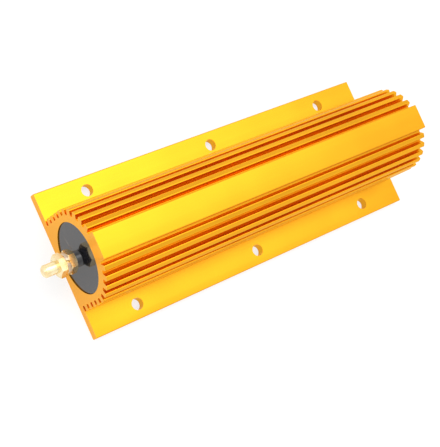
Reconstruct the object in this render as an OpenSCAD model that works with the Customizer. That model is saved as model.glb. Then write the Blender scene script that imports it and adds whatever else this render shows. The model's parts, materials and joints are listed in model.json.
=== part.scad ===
// Aluminium housed power resistor: a finned, flanged extrusion around a wire-wound ceramic core,
// closed at each end by a black insulating disc with a threaded terminal stud.
// +X runs along the housing and +Z up; the origin is the middle of the mounting face.

/* [Housing] */
// Length of the extruded housing
housing_len = 200; // [120:1:260]
// Diameter of the bore that holds the wound core
bore_d = 34.6; // [30:0.2:40]
// Metal left under the bore
floor_t = 3.9; // [3:0.1:8]
// Metal left between the bore and the roots of the slots
bore_wall = 2.9; // [2:0.1:5]
// Height of the centre of the crown above the centre of the bore
crown_rise = 1.3; // [0:0.1:2.5]
// Thickness of the mounting flanges
flange_t = 4.5; // [3:0.1:7]
// How far each flange stands out past the fins
flange_reach = 13.4; // [12:0.1:25]
// Rounding of the flange edges
flange_edge_r = 0.5; // [0.2:0.1:1]

/* [Fins] */
// Depth of the fins from tip to root
fin_depth = 2.9; // [2:0.1:5]
// Width of a slot at its bottom
slot_w = 1.8; // [1.2:0.1:2.4]
// Rounding of the two corners at the bottom of a slot
slot_corner_r = 0.25; // [0.1:0.05:0.5]
// Distance from slot to slot on the upright sides, and about that on the crown
slot_pitch = 4.8; // [4.2:0.05:7]
// Width of a fin at its tip
fin_tip_w = 2.7; // [1.5:0.1:2.9]
// Rounding of the two edges of a fin's tip
fin_edge_r = 0.6; // [0.2:0.1:0.7]

/* [Top strip] */
// Width of the flat strip along the top
strip_w = 13; // [9:0.1:16]
// Height of the strip above the circle of the fin tips
strip_rise = 1.2; // [0.4:0.1:3]
// Rounding of the two edges of the strip
strip_edge_r = 0.5; // [0.2:0.1:1]
// How much of the width of the slot on either side the strip takes up
strip_lap = 0.7; // [0:0.1:0.8]

/* [Mounting holes] */
// Diameter of the mounting holes
hole_d = 6; // [4:0.1:7]
// Distance from the flange edge to the hole centres
hole_edge = 7; // [5:0.1:7.5]
// Distance from the end of the housing to the first hole centre
hole_end = 26; // [10:0.5:45]
// Number of holes along each flange
hole_count = 3; // [2:1:5]

/* [End discs] */
// Depth of the end discs below the ends of the housing
disc_recess = 0.5; // [0:0.1:3]
// Thickness of the end discs
disc_t = 5; // [3:0.5:8]
// Diameter of the boss around each terminal
boss_d = 7.6; // [7:0.1:12]
// Height of the boss above the disc
boss_h = 3.1; // [1:0.1:5]

/* [Terminals] */
// Outside diameter of the thread on the free end of a stud
stud_d = 6; // [4:0.5:6.5]
// Height of the thread above the shank, whose surface is where stud and nut threads meet
thread_h = 0.325; // [0.1:0.025:0.5]
// Length of stud that stands out past the outer nut
stud_free = 6.8; // [2:0.1:12]
// Length of the bevel at the tip of a stud
stud_bevel = 0.8; // [0.4:0.1:1.2]
// Width of the nuts across their flats
nut_af = 10; // [9:0.5:14]
// Thickness of the nuts
nut_h = 3.4; // [2.5:0.1:6]
// Angle by which the nuts have come to rest past having a flat on top
nut_turn = 5; // [0:1:59]
// Outside diameter of the lock washers
lock_d = 10.4; // [9:0.1:13]
// Thickness of the lock washers
lock_t = 1.6; // [1:0.1:2.5]
// Width of the split in the lock washers
lock_split = 1.2; // [0.6:0.1:2]

/* [Wound core] */
// Diameter of the ceramic core
core_d = 18; // [14:0.5:20]
// Diameter of the hole along the ceramic core
core_hole_d = 8; // [4:0.5:10]
// Thickness of the end caps pressed on the core
cap_t = 1.2; // [0.8:0.1:2]
// Length of core that an end cap covers
cap_grip = 8; // [5:0.5:14]
// Diameter of the foot of a stud, which is brazed to its cap
foot_d = 12; // [9:0.5:15]
// Thickness of the foot of a stud
foot_t = 3; // [2:0.5:5]
// Length of filling between the foot of a stud and the end disc
fill_end = 9.7; // [4:0.1:20]
// Diameter of the resistance wire
wire_d = 1.2; // [0.8:0.1:1.6]
// Distance from turn to turn of the resistance wire
wire_pitch = 4.6; // [3:0.1:8]

/* [Clearances] */
// Radial gap of the pieces that sit in the bore
bore_gap = 0.05; // [0.02:0.01:0.2]
// Radial gap between a stud and what it passes through
stud_gap = 0.05; // [0.02:0.01:0.2]
// Gap between the filling and what it surrounds
fill_gap = 0.1; // [0.05:0.01:0.3]
// Radial gap between the wire and the core or cap under it
wire_gap = 0.03; // [0.02:0.01:0.1]

/* [Hidden] */
$fn = 96;

// Section of the housing, across X
bore_r = bore_d / 2;
bore_z = floor_t + bore_r;
crown_z = bore_z + crown_rise;
root_r = bore_r + bore_wall;
fin_r = root_r + fin_depth;
slot_half = slot_w / 2;
flange_w = 2 * (fin_r + flange_reach);
strip_top = crown_z + fin_r + strip_rise;
// The line that slots and fins are counted along: up the side, then round the crown.
// The rounded corners at the bottoms of the slots end on it.
seat_r = root_r + slot_corner_r;

// Slots on the upright side, number 0 running along the top of the flange
first_slot_z = flange_t + slot_half;
last_side_slot = floor((crown_z - first_slot_z) / slot_pitch);
last_side_z = first_slot_z + last_side_slot * slot_pitch;
// Slots on the crown, spread evenly from the last side slot to the one beside the strip
crown_last_angle = acos((strip_w / 2 + slot_half - strip_lap) / seat_r);
crown_run = crown_z - last_side_z + seat_r * crown_last_angle * PI / 180;
crown_slots = round(crown_run / slot_pitch);
crown_pitch = crown_run / crown_slots;
slot_count = last_side_slot + 1 + crown_slots;

// Where slot number i sits: [height on the side, angle on the crown].
// Whole numbers are slots and halves are the fins between them.
function slot_place(i) =
    let (
        past = max(0, i - last_side_slot),
        z = first_slot_z + (i - past) * slot_pitch + past * crown_pitch
    )
    z < crown_z ? [z, 0] : [crown_z, (z - crown_z) / seat_r * 180 / PI];

// Width at the root of fin number i: what the slots on its two sides leave of it
function fin_root_w(i) = (i < last_side_slot ? slot_pitch : crown_pitch) - slot_w;

// Mounting holes
hole_row_y = flange_w / 2 - hole_edge;
hole_pitch = (housing_len - 2 * hole_end) / (hole_count - 1);

// Stack along +X from the end of the housing outwards; the -X end is its mirror image
disc_face_x = housing_len / 2 - disc_recess;
disc_back_x = disc_face_x - disc_t;
boss_x = disc_face_x + boss_h;
inner_nut_x = boss_x;
lock_x = inner_nut_x + nut_h;
outer_nut_x = lock_x + lock_t;
free_x = outer_nut_x + nut_h;
stud_tip_x = free_x + stud_free;

// Stack from the end disc inwards
foot_x = disc_back_x - fill_end;
cap_x = foot_x - foot_t;
core_len = 2 * (cap_x - cap_t);
cap_rim_x = core_len / 2 - cap_grip;
stud_r = stud_d / 2;
shank_r = stud_r - thread_h;
foot_r = foot_d / 2;
core_r = core_d / 2;
cap_r = core_r + cap_t;

// Resistance wire: a helix on the core whose last turn at each end climbs on to the cap
wire_sides = 6;
wire_steps = 16;
wire_r = wire_d / 2;
facet_fit = cos(180 / wire_steps);
wire_run_r = (core_r + wire_gap) / facet_fit + wire_r;
wire_cap_r = (cap_r + wire_gap) / facet_fit + wire_r;
// Length along X of the climb, and of the stretch that lies on a cap
climb_x = wire_pitch;
lap_x = cap_grip - wire_d;
wire_end_x = cap_rim_x + lap_x;
wire_flat_x = cap_rim_x - wire_d - climb_x;
wire_rings = ceil(2 * wire_end_x / wire_pitch * wire_steps);

// Radius of the helix at x, with a smooth climb between the core and the cap
function wire_radius(x) =
    let (u = min(1, max(0, (abs(x) - wire_flat_x) / climb_x)))
    wire_run_r + (wire_cap_r - wire_run_r) * u * u * (3 - 2 * u);

// The filling stands clear of the wire over its whole length
fill_core_r = wire_cap_r + wire_r + fill_gap;

GOLD = [0.93, 0.68, 0.16];
BLACK = [0.08, 0.08, 0.09];
BRASS = [0.86, 0.76, 0.5];
STEEL = [0.72, 0.73, 0.75];
CERAMIC = [0.93, 0.91, 0.86];
CEMENT = [0.78, 0.76, 0.72];
WIRE = [0.55, 0.53, 0.5];

// A revolved outline, [distance along the bore axis, radius], turned to lie along X
module along_bore(outline) {
    translate([0, 0, bore_z])
        rotate([0, 90, 0])
            rotate_extrude()
                polygon([for (p = outline) [p[1], p[0]]]);
}

// What is drawn for the +X end, placed there or mirrored to the -X end
module at_end(side) {
    if (side > 0) children();
    else mirror([1, 0, 0]) children();
}

// ---- housing ----

// A bar with rounded edges, centred on Y and standing on Z = 0
module rounded_bar(w, t, r) {
    translate([r - w / 2, 0]) square([w - 2 * r, t]);
    translate([-w / 2, r]) square([w, t - 2 * r]);
    for (sy = [-1, 1], z = [r, t - r]) translate([sy * (w / 2 - r), z]) circle(r, $fn = 24);
}

// Children placed at slot or fin number i, with their own +X pointing out of the body
module at_slot(i) {
    place = slot_place(i);
    for (flip = [0, 1]) mirror([flip, 0])
        translate([0, place[0]]) rotate(place[1]) children();
}

// The flat bottom of a slot, with its two rounded corners
module slot_bottom() {
    r = slot_corner_r;
    translate([root_r, r - slot_half]) square([2 * r, slot_w - 2 * r]);
    for (sy = [-1, 1]) translate([seat_r, sy * (slot_half - r)]) circle(r, $fn = 24);
}

// One fin, from inside the wall it grows from: tapered flanks and a tip with rounded edges
module fin_outline(root_w) {
    root = root_w / 2;
    tip = fin_tip_w / 2;
    e = fin_edge_r;
    foot = root_r - bore_wall / 2;
    polygon([
        [foot, -root], [seat_r, -root], [fin_r - e, -tip], [fin_r - e, e - tip], [fin_r, e - tip],
        [fin_r, tip - e], [fin_r - e, tip - e], [fin_r - e, tip], [seat_r, root], [foot, root]
    ]);
    for (sy = [-1, 1]) translate([fin_r - e, sy * (tip - e)]) circle(e, $fn = 24);
}

// The strip, standing on the crown with its sides in the two uppermost slots
module strip_outline() {
    e = strip_edge_r;
    translate([-strip_w / 2, crown_z]) square([strip_w, strip_top - crown_z - e]);
    translate([e - strip_w / 2, crown_z]) square([strip_w - 2 * e, strip_top - crown_z]);
    for (sy = [-1, 1]) translate([sy * (strip_w / 2 - e), strip_top - e]) circle(e, $fn = 24);
}

// The section that is extruded, drawn with Y across and Z up
module housing_section() {
    difference() {
        union() {
            rounded_bar(flange_w, flange_t, flange_edge_r);
            difference() {
                union() {
                    translate([-seat_r, 0]) square([2 * seat_r, crown_z]);
                    translate([0, crown_z]) circle(seat_r);
                }
                // Nothing stands out below the mounting face
                translate([-flange_w, -flange_w]) square([2 * flange_w, flange_w]);
                for (i = [0 : slot_count - 1]) at_slot(i) slot_bottom();
            }
            strip_outline();
            for (i = [0 : slot_count - 2]) at_slot(i + 0.5) fin_outline(fin_root_w(i + 0.5));
        }
        translate([0, bore_z]) circle(bore_r);
    }
}

module housing() {
    color(GOLD) difference() {
        translate([-housing_len / 2, 0, 0])
            rotate([90, 0, 90]) linear_extrude(housing_len) housing_section();
        for (sy = [-1, 1], i = [0 : hole_count - 1])
            translate([hole_end + i * hole_pitch - housing_len / 2, sy * hole_row_y, -1])
                cylinder(d = hole_d, h = flange_t + 2, $fn = 48);
    }
}

// ---- wound core ----

module ceramic_core() {
    color(CERAMIC) along_bore([
        [-core_len / 2, core_hole_d / 2], [core_len / 2, core_hole_d / 2],
        [core_len / 2, core_r], [-core_len / 2, core_r]
    ]);
}

// A cup pressed over one end of the core
module end_cap(side) {
    color(STEEL) at_end(side) along_bore([
        [core_len / 2, 0], [cap_x, 0], [cap_x, cap_r],
        [cap_rim_x, cap_r], [cap_rim_x, core_r], [core_len / 2, core_r]
    ]);
}

// A ring of corners of the wire for each step along the helix
module resistance_wire() {
    function helix_x(k) = wire_end_x * (2 * k / wire_rings - 1);
    function helix_angle(k) = 360 * helix_x(k) / wire_pitch;
    corners = [
        for (k = [0 : wire_rings], s = [0 : wire_sides - 1])
            let (
                x = helix_x(k), a = helix_angle(k), turn = 360 * s / wire_sides,
                r = wire_radius(x) + wire_r * cos(turn)
            )
            [x + wire_r * sin(turn), r * cos(a), r * sin(a)]
    ];
    sides = [
        for (k = [0 : wire_rings - 1], s = [0 : wire_sides - 1])
            let (
                a = k * wire_sides + s, b = k * wire_sides + (s + 1) % wire_sides,
                c = a + wire_sides, d = b + wire_sides
            )
            each [[a, b, d], [a, d, c]]
    ];
    start = [for (s = [wire_sides - 1 : -1 : 0]) s];
    end = [for (s = [0 : wire_sides - 1]) wire_rings * wire_sides + s];
    color(WIRE) translate([0, 0, bore_z]) polyhedron(corners, concat(sides, [start, end]));
}

// Cement cast round the wound core, closed down to the studs at both ends
module cement_filling() {
    half = [
        [disc_back_x, shank_r + stud_gap], [foot_x + fill_gap, shank_r + stud_gap],
        [foot_x + fill_gap, foot_r + fill_gap], [cap_x + fill_gap, foot_r + fill_gap],
        [cap_x + fill_gap, fill_core_r]
    ];
    inner = concat(half, [for (i = [len(half) - 1 : -1 : 0]) [-half[i][0], half[i][1]]]);
    outer_r = bore_r - bore_gap;
    color(CEMENT) along_bore(concat(inner, [[-disc_back_x, outer_r], [disc_back_x, outer_r]]));
}

// ---- ends and terminals ----

module end_disc(side) {
    color(BLACK) at_end(side) along_bore([
        [disc_back_x, shank_r + stud_gap], [boss_x, shank_r + stud_gap], [boss_x, boss_d / 2],
        [disc_face_x, boss_d / 2], [disc_face_x, bore_r - bore_gap], [disc_back_x, bore_r - bore_gap]
    ]);
}

// A stud on a round foot: a shank with its thread standing out on the free end, and a bevelled tip
module terminal_stud(side) {
    color(BRASS) at_end(side) along_bore([
        [cap_x, 0], [stud_tip_x, 0], [stud_tip_x, stud_r - stud_bevel],
        [stud_tip_x - stud_bevel, stud_r], [free_x, stud_r], [free_x, shank_r],
        [foot_x, shank_r], [foot_x, foot_r], [cap_x, foot_r]
    ]);
}

// A hexagon nut with its inner face at x and both faces bevelled at the corners
module hex_nut(x) {
    corner_r = nut_af / 2 / cos(30);
    bevel = (corner_r - nut_af / 2) * tan(30);
    difference() {
        intersection() {
            translate([x, 0, bore_z]) rotate([0, 90, 0]) rotate(30 + nut_turn)
                cylinder(r = corner_r, h = nut_h, $fn = 6);
            along_bore([
                [x, 0], [x, nut_af / 2], [x + bevel, corner_r],
                [x + nut_h - bevel, corner_r], [x + nut_h, nut_af / 2], [x + nut_h, 0]
            ]);
        }
        translate([x - 1, 0, bore_z]) rotate([0, 90, 0])
            cylinder(r = shank_r + stud_gap, h = nut_h + 2, $fn = 48);
    }
}

module inner_nut(side) {
    color(BRASS) at_end(side) hex_nut(inner_nut_x);
}

module outer_nut(side) {
    color(BRASS) at_end(side) hex_nut(outer_nut_x);
}

// A split spring ring, with its gap on top
module lock_washer(side) {
    color(STEEL) at_end(side) difference() {
        along_bore([
            [lock_x, stud_r + stud_gap], [lock_x + lock_t, stud_r + stud_gap],
            [lock_x + lock_t, lock_d / 2], [lock_x, lock_d / 2]
        ]);
        translate([lock_x + lock_t / 2, 0, bore_z + stud_r])
            rotate([0, 0, 25]) cube([lock_d, lock_split, lock_d], center = true);
    }
}

housing();
ceramic_core();
resistance_wire();
cement_filling();
end_cap(-1);  // end_cap_left
end_cap(1);  // end_cap_right
terminal_stud(-1);  // terminal_stud_left
terminal_stud(1);  // terminal_stud_right
end_disc(-1);  // end_disc_left
end_disc(1);  // end_disc_right
inner_nut(-1);  // inner_nut_left
inner_nut(1);  // inner_nut_right
lock_washer(-1);  // lock_washer_left
lock_washer(1);  // lock_washer_right
outer_nut(-1);  // outer_nut_left
outer_nut(1);  // outer_nut_right
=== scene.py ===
"""Aluminium housed power resistor: its finishes, its eased edges, the light and the camera."""
import json
import math

import bmesh
import bpy
from mathutils import Matrix, Vector


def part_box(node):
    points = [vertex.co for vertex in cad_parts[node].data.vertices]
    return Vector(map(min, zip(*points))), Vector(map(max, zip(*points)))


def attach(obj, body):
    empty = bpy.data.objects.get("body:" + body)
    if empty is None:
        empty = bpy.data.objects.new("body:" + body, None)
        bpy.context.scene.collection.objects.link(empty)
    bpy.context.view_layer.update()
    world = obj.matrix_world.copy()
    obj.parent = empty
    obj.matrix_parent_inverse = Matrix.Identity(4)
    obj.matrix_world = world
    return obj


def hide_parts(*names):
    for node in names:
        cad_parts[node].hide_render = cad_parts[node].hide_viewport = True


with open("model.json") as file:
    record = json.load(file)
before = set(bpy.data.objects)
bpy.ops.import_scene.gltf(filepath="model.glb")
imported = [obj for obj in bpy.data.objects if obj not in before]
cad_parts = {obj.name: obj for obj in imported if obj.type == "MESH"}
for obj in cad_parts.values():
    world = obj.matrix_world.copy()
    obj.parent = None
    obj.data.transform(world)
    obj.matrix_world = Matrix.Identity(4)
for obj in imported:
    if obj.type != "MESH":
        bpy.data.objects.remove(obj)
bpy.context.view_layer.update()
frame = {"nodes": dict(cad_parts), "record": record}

MM = 0.001
SIDES = ("left", "right")
NODES = frame["nodes"]


# ---- places taken from the frame ----

def middle(node):
    low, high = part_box(node)
    return (low + high) / 2


HALF_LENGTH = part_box("housing")[1].x
AXIS_Z = middle("end_disc_left").z


# ---- shader building ----

class Value:
    """A socket in a shader, so that shader maths reads as arithmetic."""

    def __init__(self, shader, socket):
        self.shader = shader
        self.socket = socket

    def math(self, operation, *terms):
        inputs = {i: term for i, term in enumerate(terms)}
        return self.shader.node("ShaderNodeMath", {"operation": operation}, inputs)

    def __add__(self, other):
        return self.math("ADD", self, other)

    def __sub__(self, other):
        return self.math("SUBTRACT", self, other)

    def __mul__(self, other):
        return self.math("MULTIPLY", self, other)

    def __truediv__(self, other):
        return self.math("DIVIDE", self, other)

    def __radd__(self, other):
        return self.math("ADD", other, self)

    def __rsub__(self, other):
        return self.math("SUBTRACT", other, self)

    def __rmul__(self, other):
        return self.math("MULTIPLY", other, self)

    def __abs__(self):
        return self.math("ABSOLUTE", self)

    def above(self, edge):
        return self.math("GREATER_THAN", self, edge)

    def larger(self, other):
        return self.math("MAXIMUM", self, other)

    def root(self):
        return self.math("SQRT", self)


class Shader:
    """The node tree of a material or of the world."""

    def __init__(self, owner):
        owner.use_nodes = True
        self.tree = owner.node_tree
        self.tree.nodes.clear()

    def node(self, kind, settings=None, inputs=None, output=0):
        """Adds a node with its settings, then its sockets, and returns one of its outputs."""
        made = self.tree.nodes.new(kind)
        for name, setting in (settings or {}).items():
            if name == "stops":
                self.set_stops(made.color_ramp, setting)
            else:
                setattr(made, name, setting)
        for name, given in (inputs or {}).items():
            if isinstance(given, Value):
                self.tree.links.new(given.socket, made.inputs[name])
            else:
                made.inputs[name].default_value = given
        return Value(self, made.outputs[output]) if len(made.outputs) else made

    @staticmethod
    def set_stops(ramp, stops):
        while len(ramp.elements) < len(stops):
            ramp.elements.new(1.0)
        for element, (place, colour) in zip(ramp.elements, stops):
            element.position = place
            element.color = (*colour, 1.0)

    def object_position(self, scale=(1.0, 1.0, 1.0), turn=(0.0, 0.0, 0.0), centre=(0.0, 0.0, 0.0)):
        """Object coordinates, measured from centre, turned and scaled."""
        place = self.node("ShaderNodeTexCoord", output="Object")
        shifted = self.node("ShaderNodeVectorMath", {"operation": "SUBTRACT"}, {0: place, 1: centre})
        return self.node("ShaderNodeMapping", {}, {"Vector": shifted, "Rotation": turn, "Scale": scale})

    def axes(self, centre=(0.0, 0.0, 0.0)):
        """The three object coordinates as numbers."""
        place = self.object_position(centre=centre)
        split = self.node("ShaderNodeSeparateXYZ", {}, {"Vector": place})
        return [Value(self, socket) for socket in split.socket.node.outputs]

    def noise(self, vector, scale, detail=3.0, roughness=0.55):
        inputs = {"Vector": vector, "Scale": scale, "Detail": detail, "Roughness": roughness}
        return self.node("ShaderNodeTexNoise", {}, inputs)

    def remap(self, value, low, high, to_low, to_high, smooth=False):
        inputs = {"Value": value, "From Min": low, "From Max": high, "To Min": to_low, "To Max": to_high}
        settings = {"interpolation_type": "SMOOTHSTEP"} if smooth else {}
        return self.node("ShaderNodeMapRange", settings, inputs)

    def mix(self, factor, first, second):
        """Colour that goes from first to second as factor goes from 0 to 1."""
        inputs = {"Factor": factor, 6: first, 7: second}
        return self.node("ShaderNodeMix", {"data_type": "RGBA"}, inputs, output=2)

    def blend(self, factor, first, second):
        """Number that goes from first to second as factor goes from 0 to 1."""
        return self.node("ShaderNodeMix", {"data_type": "FLOAT"}, {"Factor": factor, 2: first, 3: second})

    def bump(self, height, strength, distance):
        return self.node("ShaderNodeBump", {}, {"Height": height, "Strength": strength, "Distance": distance})


def colour(red, green, blue):
    return (red, green, blue, 1.0)


def finish(name, constants, varying):
    """A Principled material: constants set on its sockets, and varying(shader) giving what is linked."""
    material = bpy.data.materials.new(name)
    shader = Shader(material)
    surface = shader.node("ShaderNodeBsdfPrincipled", {}, {**constants, **varying(shader)})
    shader.node("ShaderNodeOutputMaterial", {}, {"Surface": surface})
    return material


# ---- finishes ----

GOLD_DEEP = colour(0.76, 0.33, 0.004)
GOLD_PALE = colour(0.86, 0.4, 0.008)
GOLD_CUT = colour(0.92, 0.43, 0.06)
GRAZING_GOLD = colour(1.0, 0.8, 0.4)
DYED_ROUGHNESS = 0.22
CUT_ROUGHNESS = 0.3
MARK_ROUGHNESS = 0.08
# How deep the cut ends' finish reaches in from the end plane
CUT_SKIN = 0.05 * MM
# Noise features a metre, along X, Y and Z
DIE_LINES = (6, 900, 900)
BROAD_LINES = (3, 160, 160)
SAW_MARKS = (1, 60, 1400)
DYE_SCALE = 22.0
# Depth of fine marks on metal
MARK_DEPTH = 0.02 * MM


def gold_anodised():
    """Dyed anodising on an extrusion: die lines along X, saw marks on the two cut ends."""
    def varying(s):
        x, _, _ = s.axes()
        cut_end = abs(x).above(HALF_LENGTH - CUT_SKIN)
        die_lines = s.noise(s.object_position(scale=DIE_LINES), 1.0, detail=2.0)
        broad_lines = s.noise(s.object_position(scale=BROAD_LINES), 1.0, detail=1.0)
        saw_marks = s.noise(s.object_position(scale=SAW_MARKS), 1.0, detail=2.0)
        dye = s.noise(s.object_position(), DYE_SCALE, detail=2.0)
        marks = s.blend(cut_end, die_lines * 0.6 + broad_lines * 0.4, saw_marks)
        gold = s.mix(s.remap(dye + broad_lines * 0.5, 0.45, 1.05, 0.0, 1.0), GOLD_DEEP, GOLD_PALE)
        finish_gold = s.mix(cut_end, gold, GOLD_CUT)
        roughness = s.blend(cut_end, DYED_ROUGHNESS, CUT_ROUGHNESS) + marks * MARK_ROUGHNESS
        return {"Base Color": finish_gold, "Roughness": roughness, "Normal": s.bump(marks, 0.12, MARK_DEPTH)}
    constants = {"Metallic": 1.0, "Specular Tint": GRAZING_GOLD,
                 "Coat Weight": 0.25, "Coat Roughness": 0.16, "Coat IOR": 1.5}
    return finish("gold_anodised", constants, varying)


def black_moulding():
    """Glossy black moulding with the faintest ripple."""
    def varying(s):
        ripple = s.noise(s.object_position(), 160.0, detail=2.0)
        smears = s.noise(s.object_position(), 70.0, detail=4.0)
        black = s.mix(smears, colour(0.006, 0.006, 0.008), colour(0.014, 0.014, 0.017))
        roughness = s.remap(smears, 0.3, 0.7, 0.06, 0.12)
        return {"Base Color": black, "Roughness": roughness, "Normal": s.bump(ripple, 0.05, 0.05 * MM)}
    return finish("black_moulding", {"IOR": 1.58}, varying)


BRASS_DEEP = colour(0.86, 0.66, 0.33)
BRASS_PALE = colour(0.95, 0.82, 0.52)
BRASS_ROUGHNESS = 0.16
BRASS_CLOUDING = 0.16
# Noise features a metre outwards from the axis
TURNING_MARKS = 6000.0


def terminal_brass():
    """Pale bright brass with turning marks round the bore axis."""
    def varying(s):
        _, y, z = s.axes(centre=(0.0, 0.0, AXIS_Z))
        radius = (y * y + z * z).root()
        rings = s.node("ShaderNodeTexNoise", {"noise_dimensions": "1D"}, {"W": radius, "Scale": TURNING_MARKS})
        blotches = s.noise(s.object_position(), 300.0, detail=3.0)
        brass = s.mix(s.remap(blotches, 0.35, 0.65, 0.0, 1.0), BRASS_DEEP, BRASS_PALE)
        roughness = BRASS_ROUGHNESS + blotches * BRASS_CLOUDING
        return {"Base Color": brass, "Roughness": roughness, "Normal": s.bump(rings, 0.15, MARK_DEPTH)}
    return finish("terminal_brass", {"Metallic": 1.0}, varying)


def plated_steel(name, dark, light):
    """Plated or pressed steel, a little cloudy."""
    def varying(s):
        cloud = s.noise(s.object_position(), 240.0, detail=4.0)
        steel = s.mix(s.remap(cloud, 0.35, 0.65, 0.0, 1.0), dark, light)
        return {"Base Color": steel, "Roughness": 0.2 + cloud * 0.2, "Normal": s.bump(cloud, 0.1, MARK_DEPTH)}
    return finish(name, {"Metallic": 1.0}, varying)


def fired_body(name, dark, light, grain):
    """Matt ceramic or cement with a grain."""
    def varying(s):
        grains = s.noise(s.object_position(), grain, detail=5.0, roughness=0.7)
        body = s.mix(s.remap(grains, 0.3, 0.7, 0.0, 1.0), dark, light)
        return {"Base Color": body, "Roughness": 0.7 + grains * 0.2, "Normal": s.bump(grains, 0.3, 0.1 * MM)}
    return finish(name, {}, varying)


FINISHES = {
    "gold_anodised": gold_anodised(),
    "black_moulding": black_moulding(),
    "terminal_brass": terminal_brass(),
    "washer_steel": plated_steel("washer_steel", colour(0.62, 0.58, 0.5), colour(0.8, 0.77, 0.7)),
    "cap_steel": plated_steel("cap_steel", colour(0.55, 0.56, 0.58), colour(0.72, 0.73, 0.75)),
    "resistance_alloy": plated_steel("resistance_alloy", colour(0.38, 0.36, 0.34), colour(0.55, 0.53, 0.5)),
    "ceramic": fired_body("ceramic", colour(0.82, 0.8, 0.74), colour(0.92, 0.9, 0.86), 400.0),
    "cement": fired_body("cement", colour(0.6, 0.58, 0.54), colour(0.78, 0.76, 0.72), 250.0),
}

SLOTS = {part["node"]: part["material_slot"] for part in frame["record"]["subparts"]}


# ---- pieces ----

def dress(piece, material):
    piece.data.materials.clear()
    piece.data.materials.append(material)


for node, cad in NODES.items():
    dress(cad, FINISHES[SLOTS[node]])


def applied(made):
    """The object with its modifiers turned into a plain mesh."""
    graph = bpy.context.evaluated_depsgraph_get()
    mesh = bpy.data.meshes.new_from_object(made.evaluated_get(graph))
    made.modifiers.clear()
    made.data = mesh
    return made


def stand_for(piece, node):
    """The piece takes a CAD node's place, finish and body."""
    dress(piece, FINISHES[SLOTS[node]])
    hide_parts(node)
    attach(piece, "root")


# Walls that meet at less than this are shaded as one curve
CREASE = math.radians(24)
# Edges sharper than this are broken
EASED_ANGLE = math.radians(40)
# Points this close are one point, and faces this close to flat are one face
WELD = 0.001 * MM
FLATNESS = math.radians(0.5)
HOUSING_EASE = 0.15 * MM
NUT_EASE = 0.12 * MM
DISC_EASE = 0.15 * MM


def eased(node, width):
    """A copy of a CAD node with its sharp edges broken."""
    mesh = NODES[node].data.copy()
    work = bmesh.new()
    work.from_mesh(mesh)
    bmesh.ops.remove_doubles(work, verts=work.verts, dist=WELD)
    bmesh.ops.dissolve_limit(work, angle_limit=FLATNESS, verts=work.verts, edges=work.edges)
    work.to_mesh(mesh)
    work.free()
    piece = bpy.data.objects.new(node + "_eased", mesh)
    bpy.context.scene.collection.objects.link(piece)
    bevel = piece.modifiers.new("ease", "BEVEL")
    bevel.width = width
    bevel.segments = 1
    bevel.limit_method = "ANGLE"
    bevel.angle_limit = EASED_ANGLE
    applied(piece)
    smooth_curves(piece.data)
    stand_for(piece, node)


def smooth_curves(mesh):
    """Shades curved walls smooth and keeps flats and chamfers flat."""
    mesh.polygons.foreach_set("use_smooth", [True] * len(mesh.polygons))
    mesh.set_sharp_from_angle(angle=CREASE)


eased("housing", HOUSING_EASE)
for side in SIDES:
    eased(f"inner_nut_{side}", NUT_EASE)
    eased(f"outer_nut_{side}", NUT_EASE)
    eased(f"end_disc_{side}", DISC_EASE)


# ---- floor, light and camera ----

FLOOR_SIZE = 6.0
# Share of plain white in the floor where it is seen
FLOOR_WHITENING = 0.7
CAMERA_AIM = Vector((-23.2, -10.1, 20.0)) * MM
CAMERA_SHIFT = (-0.22 * MM, -0.22 * MM)
CAMERA_DISTANCE = 511.3 * MM
CAMERA_AZIMUTH = math.radians(-85.9)
CAMERA_ELEVATION = math.radians(58.53)
CAMERA_ROLL = math.radians(62.43)
LENS = 84.63
SENSOR = 36.0


def seen_directly(s):
    """1 for rays that show the background itself: from the camera, or by gloss or glass."""
    paths = [s.node("ShaderNodeLightPath", output=name)
             for name in ("Is Camera Ray", "Is Glossy Ray", "Is Transmission Ray")]
    return paths[0].larger(paths[1]).larger(paths[2])


def add_floor():
    work = bmesh.new()
    bmesh.ops.create_grid(work, x_segments=1, y_segments=1, size=FLOOR_SIZE / 2)
    mesh = bpy.data.meshes.new("floor")
    work.to_mesh(mesh)
    work.free()
    floor = bpy.data.objects.new("floor", mesh)
    bpy.context.scene.collection.objects.link(floor)
    material = bpy.data.materials.new("floor_paper")
    s = Shader(material)
    paper = s.node("ShaderNodeBsdfDiffuse", {}, {"Color": colour(0.9, 0.9, 0.9)})
    glow = s.node("ShaderNodeEmission", {}, {"Color": colour(1, 1, 1), "Strength": 1.0})
    surface = s.node("ShaderNodeMixShader", {}, {0: seen_directly(s) * FLOOR_WHITENING, 1: paper, 2: glow})
    s.node("ShaderNodeOutputMaterial", {}, {"Surface": surface})
    dress(floor, material)


LAMP_LEVEL = 1.6
# Where the lamp fades, on a ceiling one unit up: out towards +X, in from -Y, and out towards +Y
LAMP_ALONG = (0.35, 1.1)
LAMP_ACROSS = (-0.12, 0.16)
LAMP_END = (0.5, 0.9)
# Rays nearer the horizon than this height meet the ceiling as if at it
LOWEST_RAY = 0.05
DOME_PEAK = 2.0
# Level of the dome from straight down (0) to straight up (1); the ramp holds it as shares of the peak
DOME = [(place, (level / DOME_PEAK,) * 3) for place, level in
        ((0, 1.0), (0.5, 1.2), (0.66, 1.1), (0.8, 0.95), (0.9, 1.2), (0.97, 1.6), (1, 1.6))]


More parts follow.
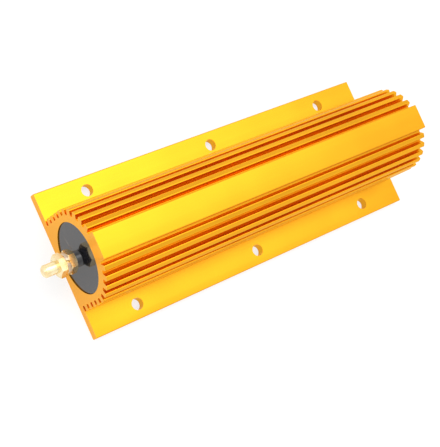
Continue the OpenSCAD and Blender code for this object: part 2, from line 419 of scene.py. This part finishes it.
def light_world():
    """A pale dome with a soft lamp overhead that lies towards +Y and runs on towards -X; white to the camera."""
    world = bpy.context.scene.world or bpy.data.worlds.new("world")
    bpy.context.scene.world = world
    s = Shader(world)
    ray = s.node("ShaderNodeTexCoord", output="Generated")
    split = s.node("ShaderNodeSeparateXYZ", {}, {"Vector": ray})
    x, y, z = [Value(s, socket) for socket in split.socket.node.outputs]
    dome = s.node("ShaderNodeValToRGB", {"stops": DOME}, {"Fac": z * 0.5 + 0.5})
    # Where the ray meets a ceiling one unit up
    height = z.larger(LOWEST_RAY)
    along = s.remap(x / height, LAMP_ALONG[0], LAMP_ALONG[1], 1.0, 0.0, smooth=True)
    across = s.remap(y / height, LAMP_ACROSS[0], LAMP_ACROSS[1], 0.0, 1.0, smooth=True)
    beyond = s.remap(y / height, LAMP_END[0], LAMP_END[1], 1.0, 0.0, smooth=True)
    lamp = along * across * beyond * z.above(0.0)
    camera = s.node("ShaderNodeLightPath", output="Is Camera Ray")
    strength = s.blend(camera, dome * DOME_PEAK + lamp * LAMP_LEVEL, 1.0)
    sky = s.node("ShaderNodeBackground", {}, {"Color": colour(1, 1, 1), "Strength": strength})
    s.node("ShaderNodeOutputWorld", {}, {"Surface": sky})


def add_camera():
    level = math.cos(CAMERA_ELEVATION) * CAMERA_DISTANCE
    out = Vector((math.sin(CAMERA_AZIMUTH) * level, -math.cos(CAMERA_AZIMUTH) * level,
                  math.sin(CAMERA_ELEVATION) * CAMERA_DISTANCE))
    forward = -out.normalized()
    across = forward.cross(Vector((0, 0, 1))).normalized()
    upward = across.cross(forward)
    right = math.cos(CAMERA_ROLL) * across + math.sin(CAMERA_ROLL) * upward
    up = right.cross(forward)
    data = bpy.data.cameras.new("camera")
    data.lens = LENS
    data.sensor_fit = "VERTICAL"
    data.sensor_height = SENSOR
    camera = bpy.data.objects.new("camera", data)
    bpy.context.scene.collection.objects.link(camera)
    place = CAMERA_AIM + out + CAMERA_SHIFT[0] * right + CAMERA_SHIFT[1] * up
    camera.matrix_world = (Matrix.Translation(place)
                           @ Matrix((right, up, -forward)).transposed().to_4x4())
    bpy.context.scene.camera = camera


add_floor()
light_world()
add_camera()
bpy.context.scene.view_settings.view_transform = "Standard"
